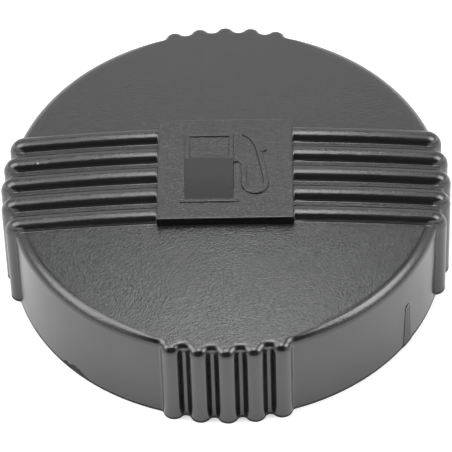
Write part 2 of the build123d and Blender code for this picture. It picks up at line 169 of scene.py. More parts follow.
def makeScuffGroup():
    # handling marks: long thin noise, kept only where a broad cloud lets it through
    tree, source, sink = startGroup(
        "handlingScuffs",
        [("Vector", "NodeSocketVector", None), ("Scale", "NodeSocketFloat", 1.0),
         ("Amount", "NodeSocketFloat", 0.5)],
        [("Mask", "NodeSocketFloat"), ("Cloud", "NodeSocketFloat")],
    )
    stretch = addNode(tree, "ShaderNodeMapping", (-700, 150))
    stretch.inputs["Rotation"].default_value = (0.0, 0.0, scuffForm["turn"])
    stretch.inputs["Scale"].default_value = (1.0, scuffForm["stretch"], 1.0)
    tree.links.new(source.outputs["Vector"], stretch.inputs["Vector"])
    streaks = addNode(tree, "ShaderNodeTexNoise", (-450, 150))
    streaks.inputs["Detail"].default_value = 2.0
    clouds = addNode(tree, "ShaderNodeTexNoise", (-450, -150))
    clouds.inputs["Detail"].default_value = 3.0
    tree.links.new(stretch.outputs["Vector"], streaks.inputs["Vector"])
    tree.links.new(source.outputs["Vector"], clouds.inputs["Vector"])
    tree.links.new(source.outputs["Scale"], streaks.inputs["Scale"])
    wide = mathNode(tree, "MULTIPLY", source.outputs["Scale"], scuffForm["cloudScale"], (-700, -200))
    tree.links.new(wide, clouds.inputs["Scale"])
    lines = rangeNode(tree, streaks.outputs["Fac"], *scuffForm["lines"], place=(-200, 150))
    cloud = rangeNode(tree, clouds.outputs["Fac"], *scuffForm["clouds"], place=(-200, -150))
    marks = mathNode(tree, "MULTIPLY", lines, cloud, (100, 100))
    tree.links.new(mathNode(tree, "MULTIPLY", marks, source.outputs["Amount"], (400, 100)), sink.inputs["Mask"])
    tree.links.new(cloud, sink.inputs["Cloud"])
    return tree


grainGroup = makeGrainGroup()
fleckGroup = makeFleckGroup()
scuffGroup = makeScuffGroup()
print("shared effects ready")


def placeGroup(tree, group, vector, place=(0, 0), **values):
    node = addNode(tree, "ShaderNodeGroup", place, node_tree=group)
    tree.links.new(vector, node.inputs["Vector"])
    for label, number in values.items():
        node.inputs[label].default_value = number
    return node


def addBump(tree, shader, height, strength, distance, place=(350, -300)):
    bump = addNode(tree, "ShaderNodeBump", place)
    bump.inputs["Strength"].default_value = strength
    bump.inputs["Distance"].default_value = distance
    tree.links.new(height, bump.inputs["Height"])
    tree.links.new(bump.outputs["Normal"], shader.inputs["Normal"])
    return bump


# satin plastic of the shell and of the raised sign

shellFinish = {
    "deep": (0.0090, 0.0090, 0.0097), "pale": (0.0185, 0.0185, 0.0194),
    "topRough": 0.22, "smoothRough": 0.21, "specular": 0.82,
    "grainScale": 2850.0, "grainDepth": 0.078,                  # depth in mm
    "ribGrain": 0.7, "bendGrain": 0.45, "smoothGrain": 0.08,    # shares of that depth off the level top
    "grainFloor": 0.0212, "grainTilt": (0.955, 0.985),          # the grain lies on the top's level faces
}
wearFinish = {
    "dust": (0.34, 0.33, 0.30), "fleckScale": 190.0, "fleckShare": 0.035, "fleckSize": 0.045,
    "scuff": (0.085, 0.085, 0.087), "scuffScale": 130.0, "scuffAmount": 0.05,
    "scuffRough": 0.15, "cloudRough": 0.04,
}
ribWear = {"x": (0.0152, 0.0158), "rise": (0.0003, 0.0008), "crown": 0.02576, "domeRadius": 0.437}


def makeRibMask(tree, x, z):
    # the ribs are worn smoother: beyond the plate's sides, and above the dome z = crown - x^2 / (2 radius)
    sideways = mathNode(tree, "ABSOLUTE", x, 0.0, (-1100, -600))
    square = mathNode(tree, "MULTIPLY", x, x, (-1100, -750))
    sag = mathNode(tree, "DIVIDE", square, 2.0 * ribWear["domeRadius"], (-950, -750))
    drop = mathNode(tree, "SUBTRACT", z, ribWear["crown"], (-950, -900))
    above = mathNode(tree, "ADD", drop, sag, (-800, -800))
    beyond = rangeNode(tree, sideways, *ribWear["x"], place=(-800, -600))
    raised = rangeNode(tree, above, *ribWear["rise"], place=(-650, -800))
    return mathNode(tree, "MULTIPLY", beyond, raised, (-500, -700))


valleyShape = {
    "step": math.asin(6.0 / 48.6), "pitch": 6.0, "groupSteps": 2.0,    # angle and mm from flute to flute
    "from": 0.18, "to": 1.45, "depth": 0.66, "reach": 0.0467, "fade": (0.0208, 0.0224),
}


def makeValleyRelief(tree, x, y, z):
    # millimetres of height that deepen the valleys between the front and the back flutes
    away = mathNode(tree, "ABSOLUTE", y, 0.0, (-1100, -1100))
    angle = mathNode(tree, "ARCTAN2", x, away, (-950, -1100))
    turns = mathNode(tree, "DIVIDE", angle, valleyShape["step"], (-800, -1100))
    share = mathNode(tree, "SUBTRACT", mathNode(tree, "FRACT", turns, 0.0, (-650, -1100)), 0.5, (-500, -1100))
    offset = mathNode(tree, "ABSOLUTE", share, 0.0, (-350, -1100))
    aside = mathNode(tree, "MULTIPLY", offset, valleyShape["pitch"], (-200, -1100))
    flank = rangeNode(tree, aside, valleyShape["from"], valleyShape["to"], -valleyShape["depth"], 0.0, (-50, -1100))
    either = mathNode(tree, "ABSOLUTE", turns, 0.0, (-650, -1250))
    inGroup = mathNode(tree, "LESS_THAN", either, valleyShape["groupSteps"], (-500, -1250))
    outside = mathNode(tree, "GREATER_THAN", away, valleyShape["reach"], (-500, -1400))
    low = rangeNode(tree, z, *valleyShape["fade"], 1.0, 0.0, (-350, -1400))
    there = mathNode(tree, "MULTIPLY", inGroup, outside, (-200, -1300))
    return mathNode(tree, "MULTIPLY", flank, mathNode(tree, "MULTIPLY", there, low, (-50, -1300)), (100, -1200))


edgeRoll = {"from": 0.0460, "to": 0.0482, "depth": 0.38, "smooth": (0.0456, 0.0466), "side": (0.0145, 0.0250)}


def makeEdgeRoll(tree, x, y, ribs):
    # height in mm that starts the edge's rounding a little further in, and the share of it that is smooth,
    # both clear of the ribs and the flutes
    squareX = mathNode(tree, "MULTIPLY", x, x, (-950, -2700))
    squareY = mathNode(tree, "MULTIPLY", y, y, (-950, -2850))
    radius = mathNode(tree, "SQRT", mathNode(tree, "ADD", squareX, squareY, (-800, -2750)), 0.0, (-650, -2750))
    roll = rangeNode(tree, radius, edgeRoll["from"], edgeRoll["to"], 0.0, -edgeRoll["depth"], (-500, -2750))
    turned = rangeNode(tree, radius, *edgeRoll["smooth"], place=(-500, -2600))
    sideways = mathNode(tree, "ABSOLUTE", x, 0.0, (-800, -2950))
    aside = rangeNode(tree, sideways, *edgeRoll["side"], place=(-650, -2950))
    bare = mathNode(tree, "MULTIPLY", aside, mathNode(tree, "SUBTRACT", 1.0, ribs, (-500, -3050)), (-350, -2950))
    height = mathNode(tree, "MULTIPLY", roll, bare, (-200, -2850))
    return height, mathNode(tree, "MULTIPLY", turned, bare, (-200, -2650))


def makeArc(tree, x, y, angle, radius, place):
    # distance round the skirt from an angle, in millimetres and without sign
    turned = mathNode(tree, "SUBTRACT", mathNode(tree, "ARCTAN2", y, x, place), angle, (place[0] + 150, place[1]))
    away = mathNode(tree, "ABSOLUTE", turned, 0.0, (place[0] + 300, place[1]))
    return mathNode(tree, "MULTIPLY", away, radius, (place[0] + 450, place[1]))


markFinish = {
    "angle": math.radians(-35.5), "radius": 48.8, "wide": 1.35, "narrow": 0.75, "top": 0.0122,
    "lineRate": 11.0, "lineDepth": 0.035, "rough": 0.22,        # fine upright lines, depth in mm
}


def makeSkirtMark(tree, x, y, z):
    # moulding mark on the skirt: a tapering upright band, and the height in mm of the lines in it
    arc = makeArc(tree, x, y, markFinish["angle"], markFinish["radius"], (-1100, -1600))
    halfWidth = rangeNode(tree, z, 0.0, markFinish["top"], markFinish["wide"], markFinish["narrow"], (-650, -1750))
    within = mathNode(tree, "LESS_THAN", arc, halfWidth, (-350, -1600))
    below = mathNode(tree, "LESS_THAN", z, markFinish["top"], (-350, -1750))
    mark = mathNode(tree, "MULTIPLY", within, below, (-200, -1650))
    phase = mathNode(tree, "MULTIPLY", arc, markFinish["lineRate"], (-350, -1900))
    wave = mathNode(tree, "SINE", phase, 0.0, (-200, -1900))
    height = mathNode(tree, "MULTIPLY", mark, markFinish["lineDepth"], (-50, -1800))
    return mark, mathNode(tree, "MULTIPLY", wave, height, (100, -1850))


rimFinish = {
    "height": 0.90, "depth": 0.60, "solid": 0.50, "rough": 0.75,                # mm above the rim's foot
    "nickAngle": math.radians(-134.0), "nickRadius": 48.9, "nickFrom": 0.6, "nickReach": 7.0,
    "nickHeight": 2.0, "nickDepth": 1.2, "tornBand": 0.15,
    "ragScale": 700.0, "ragNoise": (0.3, 0.7), "ragHeight": (0.75, 1.25),
}


def makeRimRelief(tree, coordinates, x, y, z):
    # the lowest millimetre of the skirt is left rough and rounded, with one torn nick:
    # the height in mm of the rounding and of the nick, and how rough the edge is
    level = mathNode(tree, "MULTIPLY", z, 1000.0, (-650, -2050))
    rim = rangeNode(tree, level, 0.0, rimFinish["height"], 0.0, rimFinish["depth"], (-350, -2050))
    ragged = addNode(tree, "ShaderNodeTexNoise", (-900, -2250))
    ragged.inputs["Scale"].default_value = rimFinish["ragScale"]
    tree.links.new(coordinates, ragged.inputs["Vector"])
    arc = makeArc(tree, x, y, rimFinish["nickAngle"], rimFinish["nickRadius"], (-1100, -2400))
    slope = rangeNode(tree, arc, rimFinish["nickFrom"], rimFinish["nickReach"], rimFinish["nickHeight"], 0.0,
                      (-500, -2400))
    torn = rangeNode(tree, ragged.outputs["Fac"], *rimFinish["ragNoise"], *rimFinish["ragHeight"], (-650, -2250))
    nickTop = mathNode(tree, "MULTIPLY", slope, torn, (-350, -2300))
    inside = mathNode(tree, "SUBTRACT", nickTop, level, (-350, -2200))
    nick = mathNode(tree, "MULTIPLY", mathNode(tree, "MAXIMUM", inside, 0.0, (-200, -2200)), -rimFinish["nickDepth"],
                    (-50, -2200))
    nickEdge = rangeNode(tree, inside, 0.0, rimFinish["tornBand"], place=(-200, -2500))
    foot = rangeNode(tree, level, rimFinish["solid"], rimFinish["height"], 1.0, 0.0, (-200, -2650))
    return rim, nick, mathNode(tree, "MAXIMUM", nickEdge, foot, (-50, -2550))


panelGloss = {"specular": 0.54, "reach": (-0.0095, 0.0028), "rough": (0.20, 0.40)}     # from the panel's low end up


def makeShellPlastic(name, specular, grained=True):
    # near-black satin plastic: grained above the skirt and smooth below, or smooth all over for the panel
    material, tree, shader = startMaterial(name)
    shader.inputs["Specular IOR Level"].default_value = specular
    coordinates = addNode(tree, "ShaderNodeTexCoord", (-1500, 0)).outputs["Object"]
    parts = addNode(tree, "ShaderNodeSeparateXYZ", (-1300, -300))
    tree.links.new(coordinates, parts.inputs[0])
    x, y, z = parts.outputs
    grain = placeGroup(tree, grainGroup, coordinates, (-1100, 200), Scale=shellFinish["grainScale"])
    flecks = placeGroup(tree, fleckGroup, coordinates, (-1100, 0), Scale=wearFinish["fleckScale"],
                        Share=wearFinish["fleckShare"], Size=wearFinish["fleckSize"])
    scuffs = placeGroup(tree, scuffGroup, coordinates, (-1100, -150), Scale=wearFinish["scuffScale"],
                        Amount=wearFinish["scuffAmount"])
    facing = addNode(tree, "ShaderNodeSeparateXYZ", (-1300, -450))
    tree.links.new(addNode(tree, "ShaderNodeNewGeometry", (-1500, -450)).outputs["Normal"], facing.inputs[0])
    ribs = makeRibMask(tree, x, z)
    roll, turned = makeEdgeRoll(tree, x, y, ribs)
    mark, lines = makeSkirtMark(tree, x, y, z)
    rim, nick, edge = makeRimRelief(tree, coordinates, x, y, z)
    # where the grain lies: high is the level top, bend the edge's turn, rough the top without its ribs
    above = mathNode(tree, "GREATER_THAN", z, shellFinish["grainFloor"], (-1100, -300))
    flat = rangeNode(tree, facing.outputs[2], *shellFinish["grainTilt"], 0.0, 1.0 if grained else 0.0, (-1100, -450))
    upper = mathNode(tree, "MULTIPLY", above, flat, (-950, -350))
    high = mathNode(tree, "MULTIPLY", upper, mathNode(tree, "SUBTRACT", 1.0, turned, (-950, -500)), (-800, -350))
    curved = mathNode(tree, "MULTIPLY", above, turned, (-800, -500))
    bend = mathNode(tree, "MULTIPLY", curved, shellFinish["bendGrain"] if grained else 0.0, (-650, -500))
    rough = mathNode(tree, "MULTIPLY", high, mathNode(tree, "SUBTRACT", 1.0, ribs, (-350, -700)), (-200, -600))
    ribShare = rangeNode(tree, ribs, 0.0, 1.0, 1.0, shellFinish["ribGrain"], (-350, -850))
    grainy = mathNode(tree, "MULTIPLY", mathNode(tree, "MAXIMUM", high, bend, (-350, -950)), ribShare, (-200, -800))
    # colour: grain pits read darker, with scuffs and a little dust over them
    shade = mathNode(tree, "MULTIPLY", grain.outputs["Shade"], high, (-700, 250))
    body = mixColour(tree, shade, shellFinish["deep"], shellFinish["pale"], (-400, 250))
    worn = mixColour(tree, scuffs.outputs["Mask"], body, wearFinish["scuff"], (-150, 250))
    dusty = mixColour(tree, flecks.outputs["Mask"], worn, wearFinish["dust"], (100, 250))
    tree.links.new(dusty, shader.inputs["Base Color"])
    # roughness: grained top, smoother ribs, edge and skirt, with the mark, the rim and scuffs duller
    if grained:
        base = rangeNode(tree, rough, 0.0, 1.0, shellFinish["smoothRough"], shellFinish["topRough"], (-250, -50))
    else:
        base = rangeNode(tree, y, *panelGloss["reach"], *panelGloss["rough"], (-250, -50))
    dulled = base
    for row, (share, amount) in enumerate(((mark, markFinish["rough"]), (edge, rimFinish["rough"]),
                                           (scuffs.outputs["Cloud"], wearFinish["cloudRough"]),
                                           (scuffs.outputs["Mask"], wearFinish["scuffRough"]))):
        part = mathNode(tree, "MULTIPLY", share, amount, (-250 + 150 * row, -150 - 50 * row))
        dulled = mathNode(tree, "ADD", dulled, part, (-100 + 100 * row, -100))
    tree.links.new(dulled, shader.inputs["Roughness"])
    # relief, in millimetres: grain, flute valleys, the edge's roll, the mark's lines, and the rim with its nick
    depth = rangeNode(tree, grainy, 0.0, 1.0, shellFinish["smoothGrain"] * shellFinish["grainDepth"],
                      shellFinish["grainDepth"], (-500, -150))
    relief = mathNode(tree, "MULTIPLY", grain.outputs["Height"], depth, (0, -350))
    for row, height in enumerate((makeValleyRelief(tree, x, y, z), roll, lines, rim, nick)):
        relief = mathNode(tree, "ADD", relief, height, (100 + 50 * row, -450 - 50 * row))
    addBump(tree, shader, relief, 1.0, 0.001)
    return material


shellPlastic = makeShellPlastic("shellPlastic", shellFinish["specular"])
panelPlastic = makeShellPlastic("panelPlastic", panelGloss["specular"], grained=False)


innerPlastics = {
    "carrierPlastic": {"deep": (0.05, 0.05, 0.054), "pale": (0.068, 0.068, 0.072), "rough": 0.36,
                       "grainScale": 2600.0, "bump": 0.3},
    "bafflePlastic": {"deep": (0.042, 0.042, 0.046), "pale": (0.06, 0.06, 0.064), "rough": 0.42,
                      "grainScale": 2600.0, "bump": 0.35},
    "valvePlastic": {"deep": (0.68, 0.67, 0.62), "pale": (0.78, 0.77, 0.73), "rough": 0.34,
                     "grainScale": 3200.0, "bump": 0.15},
}
innerWear = {"scuffScale": 160.0, "scuffAmount": 0.35, "scuffRough": 0.2, "pitRough": 0.06, "grainHeight": 0.00004}


def makePlainPlastic(name, look):
    # inner mouldings: one colour with faint flow clouds and a fine eroded grain
    material, tree, shader = startMaterial(name)
    coordinates = addNode(tree, "ShaderNodeTexCoord", (-1100, 0)).outputs["Object"]
    grain = placeGroup(tree, grainGroup, coordinates, (-800, 150), Scale=look["grainScale"])
    scuffs = placeGroup(tree, scuffGroup, coordinates, (-800, -150), Scale=innerWear["scuffScale"],
                        Amount=innerWear["scuffAmount"])
    body = mixColour(tree, scuffs.outputs["Cloud"], look["deep"], look["pale"], (-400, 200))
    tree.links.new(body, shader.inputs["Base Color"])
    scuffed = mathNode(tree, "MULTIPLY", scuffs.outputs["Mask"], innerWear["scuffRough"], (-400, -50))
    pitted = mathNode(tree, "MULTIPLY", grain.outputs["Shade"], innerWear["pitRough"], (-400, -200))
    both = mathNode(tree, "ADD", scuffed, pitted, (-150, -50))
    tree.links.new(mathNode(tree, "ADD", both, look["rough"], (50, -50)), shader.inputs["Roughness"])
    addBump(tree, shader, grain.outputs["Height"], look["bump"], innerWear["grainHeight"])
    return material


innerFinish = {name: makePlainPlastic(name, look) for name, look in innerPlastics.items()}


rubbers = {
    "gasketRubber": {"deep": (0.016, 0.016, 0.017), "pale": (0.03, 0.03, 0.031), "bump": 0.4},
    "sealRubber": {"deep": (0.022, 0.021, 0.021), "pale": (0.038, 0.037, 0.036), "bump": 0.3},
}
rubberSkin = {"grainScale": 1700.0, "pitHeight": 0.00006, "bloomScale": 90.0, "bloomAmount": 0.6,
              "rough": (0.62, 0.78), "sheen": 0.08}


def makeRubber(name, look):
    # matt rubber with bloom: a pale cloud lies over the black, and the skin is finely pitted
    material, tree, shader = startMaterial(name)
    coordinates = addNode(tree, "ShaderNodeTexCoord", (-1100, 0)).outputs["Object"]
    grain = placeGroup(tree, grainGroup, coordinates, (-800, 150), Scale=rubberSkin["grainScale"])
    scuffs = placeGroup(tree, scuffGroup, coordinates, (-800, -150), Scale=rubberSkin["bloomScale"],
                        Amount=rubberSkin["bloomAmount"])
    body = mixColour(tree, scuffs.outputs["Cloud"], look["deep"], look["pale"], (-400, 200))
    tree.links.new(body, shader.inputs["Base Color"])
    dull = rangeNode(tree, grain.outputs["Shade"], 0.0, 1.0, *rubberSkin["rough"], (-400, -50))
    tree.links.new(dull, shader.inputs["Roughness"])
    addBump(tree, shader, grain.outputs["Height"], look["bump"], rubberSkin["pitHeight"])
    shader.inputs["Sheen Weight"].default_value = rubberSkin["sheen"]
    return material


rubberFinish = {name: makeRubber(name, look) for name, look in rubbers.items()}


steels = {
    "screwSteel": {"bright": (0.66, 0.64, 0.58), "worn": (0.52, 0.51, 0.47), "rough": 0.26,
                   "stretch": (1.0, 1.0, 0.3)},
    "springSteel": {"bright": (0.60, 0.60, 0.59), "worn": (0.45, 0.45, 0.45), "rough": 0.22,
                    "stretch": (0.4, 0.4, 1.0)},
}
steelStreaks = {"scale": 900.0, "share": (0.3, 0.7), "extraRough": 0.14, "bump": 0.15, "height": 0.00003}


def makeSteel(name, look):
    # plated or drawn steel: streaks along one axis vary colour and roughness
    material, tree, shader = startMaterial(name)
    coordinates = addNode(tree, "ShaderNodeTexCoord", (-1300, 0)).outputs["Object"]
    mapping = addNode(tree, "ShaderNodeMapping", (-1100, 0))
    mapping.inputs["Scale"].default_value = look["stretch"]
    tree.links.new(coordinates, mapping.inputs["Vector"])
    streaks = addNode(tree, "ShaderNodeTexNoise", (-850, 0))
    streaks.inputs["Scale"].default_value = steelStreaks["scale"]
    streaks.inputs["Detail"].default_value = 3.0
    tree.links.new(mapping.outputs["Vector"], streaks.inputs["Vector"])
    body = mixColour(tree, streaks.outputs["Fac"], look["bright"], look["worn"], (-400, 200))
    tree.links.new(body, shader.inputs["Base Color"])
    dull = rangeNode(tree, streaks.outputs["Fac"], *steelStreaks["share"], look["rough"],
                     look["rough"] + steelStreaks["extraRough"], (-400, -50))
    tree.links.new(dull, shader.inputs["Roughness"])
    shader.inputs["Metallic"].default_value = 1.0
    addBump(tree, shader, streaks.outputs["Fac"], steelStreaks["bump"], steelStreaks["height"])
    return material


steelFinish = {name: makeSteel(name, look) for name, look in steels.items()}


feltLook = {
    "turns": (0.35, -0.9), "stretch": (1.0, 7.0, 3.0), "scale": 900.0, "share": (0.4, 0.7),
    "deep": (0.40, 0.37, 0.31), "pale": (0.62, 0.59, 0.52), "rough": (0.95, 0.8),
    "bump": 0.8, "height": 0.0002, "sheen": 0.3,
}


def makeFelt():
    # pressed felt: two crossed fibre noises for colour and height
    material, tree, shader = startMaterial("filterFelt")
    coordinates = addNode(tree, "ShaderNodeTexCoord", (-1300, 0)).outputs["Object"]
    layers = []
    for turn in feltLook["turns"]:
        mapping = addNode(tree, "ShaderNodeMapping", (-1100, 200 * turn))
        mapping.inputs["Rotation"].default_value = (0.2, 0.1, turn)
        mapping.inputs["Scale"].default_value = feltLook["stretch"]
        tree.links.new(coordinates, mapping.inputs["Vector"])
        fibres = addNode(tree, "ShaderNodeTexNoise", (-850, 200 * turn))
        fibres.inputs["Scale"].default_value = feltLook["scale"]
        fibres.inputs["Detail"].default_value = 4.0
        tree.links.new(mapping.outputs["Vector"], fibres.inputs["Vector"])
        layers.append(fibres.outputs["Fac"])
    fluff = mathNode(tree, "MAXIMUM", layers[0], layers[1], (-500, 0))
    raised = rangeNode(tree, fluff, *feltLook["share"], place=(-350, 200))
    body = mixColour(tree, raised, feltLook["deep"], feltLook["pale"], (-100, 200))
    tree.links.new(body, shader.inputs["Base Color"])
    dull = rangeNode(tree, fluff, *feltLook["share"], *feltLook["rough"], (-100, -50))
    tree.links.new(dull, shader.inputs["Roughness"])
    addBump(tree, shader, fluff, feltLook["bump"], feltLook["height"])
    shader.inputs["Sheen Weight"].default_value = feltLook["sheen"]
    return material


filterFelt = makeFelt()

nodeFinish = {
    "cap_shell": shellPlastic, "neck_gasket": rubberFinish["gasketRubber"],
    "valve_carrier": innerFinish["carrierPlastic"], "carrier_screws": steelFinish["screwSteel"],
    "vent_filter": filterFelt, "seat_plate": innerFinish["valvePlastic"],
    "pressure_plate": innerFinish["valvePlastic"], "valve_seal": rubberFinish["sealRubber"],
    "vacuum_poppet": innerFinish["valvePlastic"], "poppet_clip": steelFinish["springSteel"],
    "pressure_spring": steelFinish["springSteel"], "vacuum_spring": steelFinish["springSteel"],
    "splash_baffle": innerFinish["bafflePlastic"],
}
for nodeName, finish in nodeFinish.items():
    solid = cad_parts[nodeName]
    solid.data.materials.clear()
    solid.data.materials.append(finish)
print("finishes on all", len(nodeFinish), "nodes")


# surfaces from grids

def gridMesh(name, points, wrapRows=False, wrapColumns=False, smooth=True):
    # points is rows x columns x 3; each four neighbours become a face
    rows, columns = points.shape[:2]
    index = np.arange(rows * columns).reshape(rows, columns)
    if wrapRows:
        index = np.vstack([index, index[:1]])
    if wrapColumns:
        index = np.hstack([index, index[:, :1]])
    quads = np.stack([index[:-1, :-1], index[:-1, 1:], index[1:, 1:], index[1:, :-1]], axis=-1).reshape(-1, 4)
    mesh = bpy.data.meshes.new(name)
    mesh.vertices.add(rows * columns)
    mesh.vertices.foreach_set("co", points.reshape(-1).astype(np.float32))
    mesh.loops.add(quads.size)
    mesh.loops.foreach_set("vertex_index", quads.reshape(-1).astype(np.int32))
    mesh.polygons.add(len(quads))
    mesh.polygons.foreach_set("loop_start", np.arange(0, quads.size, 4, dtype=np.int32))
    mesh.polygons.foreach_set("use_smooth", np.full(len(quads), smooth))
    mesh.update(calc_edges=True)
    if wrapRows or wrapColumns:                            # closed: join the drawn-together ends, face outwards
        tidy = bmesh.new()
        tidy.from_mesh(mesh)
        bmesh.ops.remove_doubles(tidy, verts=tidy.verts, dist=1e-7)
        bmesh.ops.recalc_face_normals(tidy, faces=tidy.faces)
        tidy.to_mesh(mesh)
        tidy.free()
    piece = bpy.data.objects.new(name, mesh)
    bpy.context.scene.collection.objects.link(piece)
    return piece


signShape = {
    "height": 0.00032, "sink": 0.00005, "round": 0.00005, "draft": 0.00013,     # raised edges over the plate's top
    "body": (-0.0089, 0.0018, 0.0027, 0.0103),             # x low, x high, y low, y high of the window's frame
    "window": (-0.0079, 0.0009, 0.0029, 0.0097),
    "panel": (-0.0089, 0.0018, -0.0095, 0.0028), "crest": 0.00034, "fall": 0.00026, "fallPower": 1.6,
    "foot": (-0.0099, 0.0028, -0.0102, -0.0095),
    "hoseWidth": 0.00105, "hookWidth": 0.0004,
    "bevelAngle": math.radians(50.0), "firstTurn": math.radians(25.0), "shoulder": 1.5,
}
hosePoints = np.array([
    (0.00160, 0.00223), (0.00294, 0.00235), (0.00397, 0.00162), (0.00411, 0.00040), (0.00411, -0.00327),
    (0.00415, -0.00541), (0.00485, -0.00688), (0.00666, -0.00755), (0.00844, -0.00682), (0.00913, -0.00526),
    (0.00889, -0.00266), (0.00821, 0.00131), (0.00756, 0.00529), (0.00671, 0.00789), (0.00552, 0.00957),
    (0.00417, 0.01067),
])
hookPoints = np.array([(0.0079, 0.0046), (0.0086, 0.0051), (0.0092, 0.0055)])


def finishSign(piece, material):
    piece.data.materials.append(material)
    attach(piece, "cap_body")
    return piece


def roundEdges(piece, width):
    bevel = piece.modifiers.new("edges", "BEVEL")
    bevel.width, bevel.segments, bevel.limit_method = width, 2, "ANGLE"
    bevel.angle_limit = signShape["bevelAngle"]
    return piece


def roundPath(points, rounds):
    # corner cutting: every run gives points at its quarter and three quarters
    for _ in range(rounds):
        near = 0.75 * points[:-1] + 0.25 * points[1:]
        far = 0.25 * points[:-1] + 0.75 * points[1:]
        points = np.vstack([points[:1], np.stack([near, far], axis=1).reshape(-1, 2), points[-1:]])
    return points


def closeEnds(rings):
    # a first and a last row drawn together at the middle of the end rings
    ends = rings[[0, -1]].mean(axis=1, keepdims=True)
    first, last = (np.broadcast_to(end, rings[:1].shape) for end in (ends[:1], ends[1:]))
    return np.concatenate([first, rings, last])


def plateLevel():
    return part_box("cap_shell")[1].z


def makeRibbon(name, points, width, rounds):
    # a flat-backed strip: a rectangle with rounded upper corners, carried along the path at right angles to it;
    # a corner is at (half - bend + bend cos turn, high - bend + bend sin turn)
    path = roundPath(points, rounds)
    run = np.gradient(path, axis=0)
    run /= np.linalg.norm(run, axis=1, keepdims=True)
    side = np.stack([-run[:, 1], run[:, 0]], axis=1)
    half, high, low, bend = width / 2.0, signShape["height"], -signShape["sink"], signShape["round"]
    turn = np.linspace(signShape["firstTurn"], math.pi / 2.0, 4)
    across = np.concatenate([[half + signShape["draft"]], half - bend + bend * np.cos(turn),
                             [half - signShape["shoulder"] * bend]])
    level = np.concatenate([[low], high - bend + bend * np.sin(turn), [high]])
    across = np.concatenate([across, -across[::-1]])
    level = plateLevel() + np.concatenate([level, level[::-1]])
    flat = path[:, None, :] + side[:, None, :] * across[None, :, None]
    rings = np.concatenate([flat, np.broadcast_to(level[None, :, None], flat.shape[:2] + (1,))], axis=2)
    return finishSign(gridMesh(name, closeEnds(rings), wrapColumns=True), shellPlastic)


def makeTile(name, box, level, material, rows=2):
    # a flat-backed tile with sloping sides: at each y a trapezium across x, whose top stands at
    # level(share of the way from high y to low y) over the plate
    lowX, highX, lowY, highY = box
    draft = signShape["draft"]
    share = np.linspace(0.0, 1.0, rows)
    base = plateLevel() - signShape["sink"]
    y = np.concatenate([[highY + draft], highY + (lowY - highY) * share, [lowY - draft]])
    top = np.concatenate([[base], plateLevel() + level(share), [base]])
    x = np.broadcast_to(np.array([lowX - draft, lowX, highX, highX + draft]), (rows + 2, 4))
    z = np.stack([np.full(rows + 2, base), top, top, np.full(rows + 2, base)], axis=1)
    rings = np.stack([x, np.broadcast_to(y[:, None], (rows + 2, 4)), z], axis=2)
    piece = gridMesh(name, closeEnds(rings)[::-1], wrapColumns=True, smooth=False)
    return finishSign(roundEdges(piece, signShape["round"]), material)


def makeWindowFrame():
    # frame between two rectangles: at each of the four corners an upright loop from the outer to the inner one
    draft = signShape["draft"]
    spread = np.array([(-1.0, -1.0), (1.0, -1.0), (1.0, 1.0), (-1.0, 1.0)])
    corners = []
    for box, way in ((signShape["body"], 1.0), (signShape["window"], -1.0)):
        lowX, highX, lowY, highY = box
        crest = np.array([(lowX, lowY), (highX, lowY), (highX, highY), (lowX, highY)])
        corners.append((crest + way * draft * spread, crest))
    base, top = plateLevel() - signShape["sink"], plateLevel() + signShape["height"]
    loop = np.stack([corners[0][0], corners[0][1], corners[1][1], corners[1][0]], axis=1)
    z = np.broadcast_to(np.array([base, top, top, base])[None, :, None], (4, 4, 1))
    piece = gridMesh("signFrame", np.concatenate([loop, z], axis=2), wrapRows=True, wrapColumns=True, smooth=False)
    return finishSign(roundEdges(piece, signShape["round"]), shellPlastic)


makeWindowFrame()
makeTile("signPanel", signShape["panel"],
         lambda share: signShape["crest"] - signShape["fall"] * share ** signShape["fallPower"], panelPlastic, 40)
makeTile("signFoot", signShape["foot"], lambda share: np.full_like(share, signShape["height"]), shellPlastic)
makeRibbon("signHose", hosePoints, signShape["hoseWidth"], 3)
makeRibbon("signHook", hookPoints, signShape["hookWidth"], 2)
print("raised sign on the plate")


coilSteps = {"perTurn": 40, "around": 16}
coilForms = {
    # fixed is the height of the end that stays, travel is how far the joint moves the other one
    "pressureCoil": {"node": "pressure_spring", "body": "cap_body", "joint": "pressure_lift",
                     "wire": 0.00045, "turns": 3.0, "fixed": 0.0157, "travel": 0.0012},
    "vacuumCoil": {"node": "vacuum_spring", "body": "pressure_valve", "joint": "vacuum_open",
                   "wire": 0.00022, "turns": 2.5, "fixed": 0.0102, "travel": 0.0010},
}


def makeCoil(name, form):
    # round wire on a helix: at the angle a its middle is at (radius cos a, radius sin a, lowest + rise times a),
    # all inside the box of the spring it stands for
    low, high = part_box(form["node"])
    wire = form["wire"]
    radius = (high.x - low.x) / 2.0 - wire
    share = np.linspace(0.0, 1.0, int(coilSteps["perTurn"] * form["turns"]) + 1)
    angle = 2.0 * math.pi * form["turns"] * share
    outward = np.stack([np.cos(angle), np.sin(angle), np.zeros_like(angle)], axis=1)
    middle = radius * outward
    middle[:, 2] = low.z + wire + (high.z - low.z - 2.0 * wire) * share
    turn = np.linspace(0.0, 2.0 * math.pi, coilSteps["around"], endpoint=False)
    rings = (middle[:, None, :] + wire * np.cos(turn)[None, :, None] * outward[:, None, :]
             + wire * np.sin(turn)[None, :, None] * np.array([0.0, 0.0, 1.0]))
    piece = gridMesh(name, closeEnds(rings), wrapColumns=True)
    piece.data.materials.append(steelFinish["springSteel"])
    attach(piece, form["body"])
    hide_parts(form["node"])
    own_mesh(piece)


for name, form in coilForms.items():
    makeCoil(name, form)


# floor, light and camera

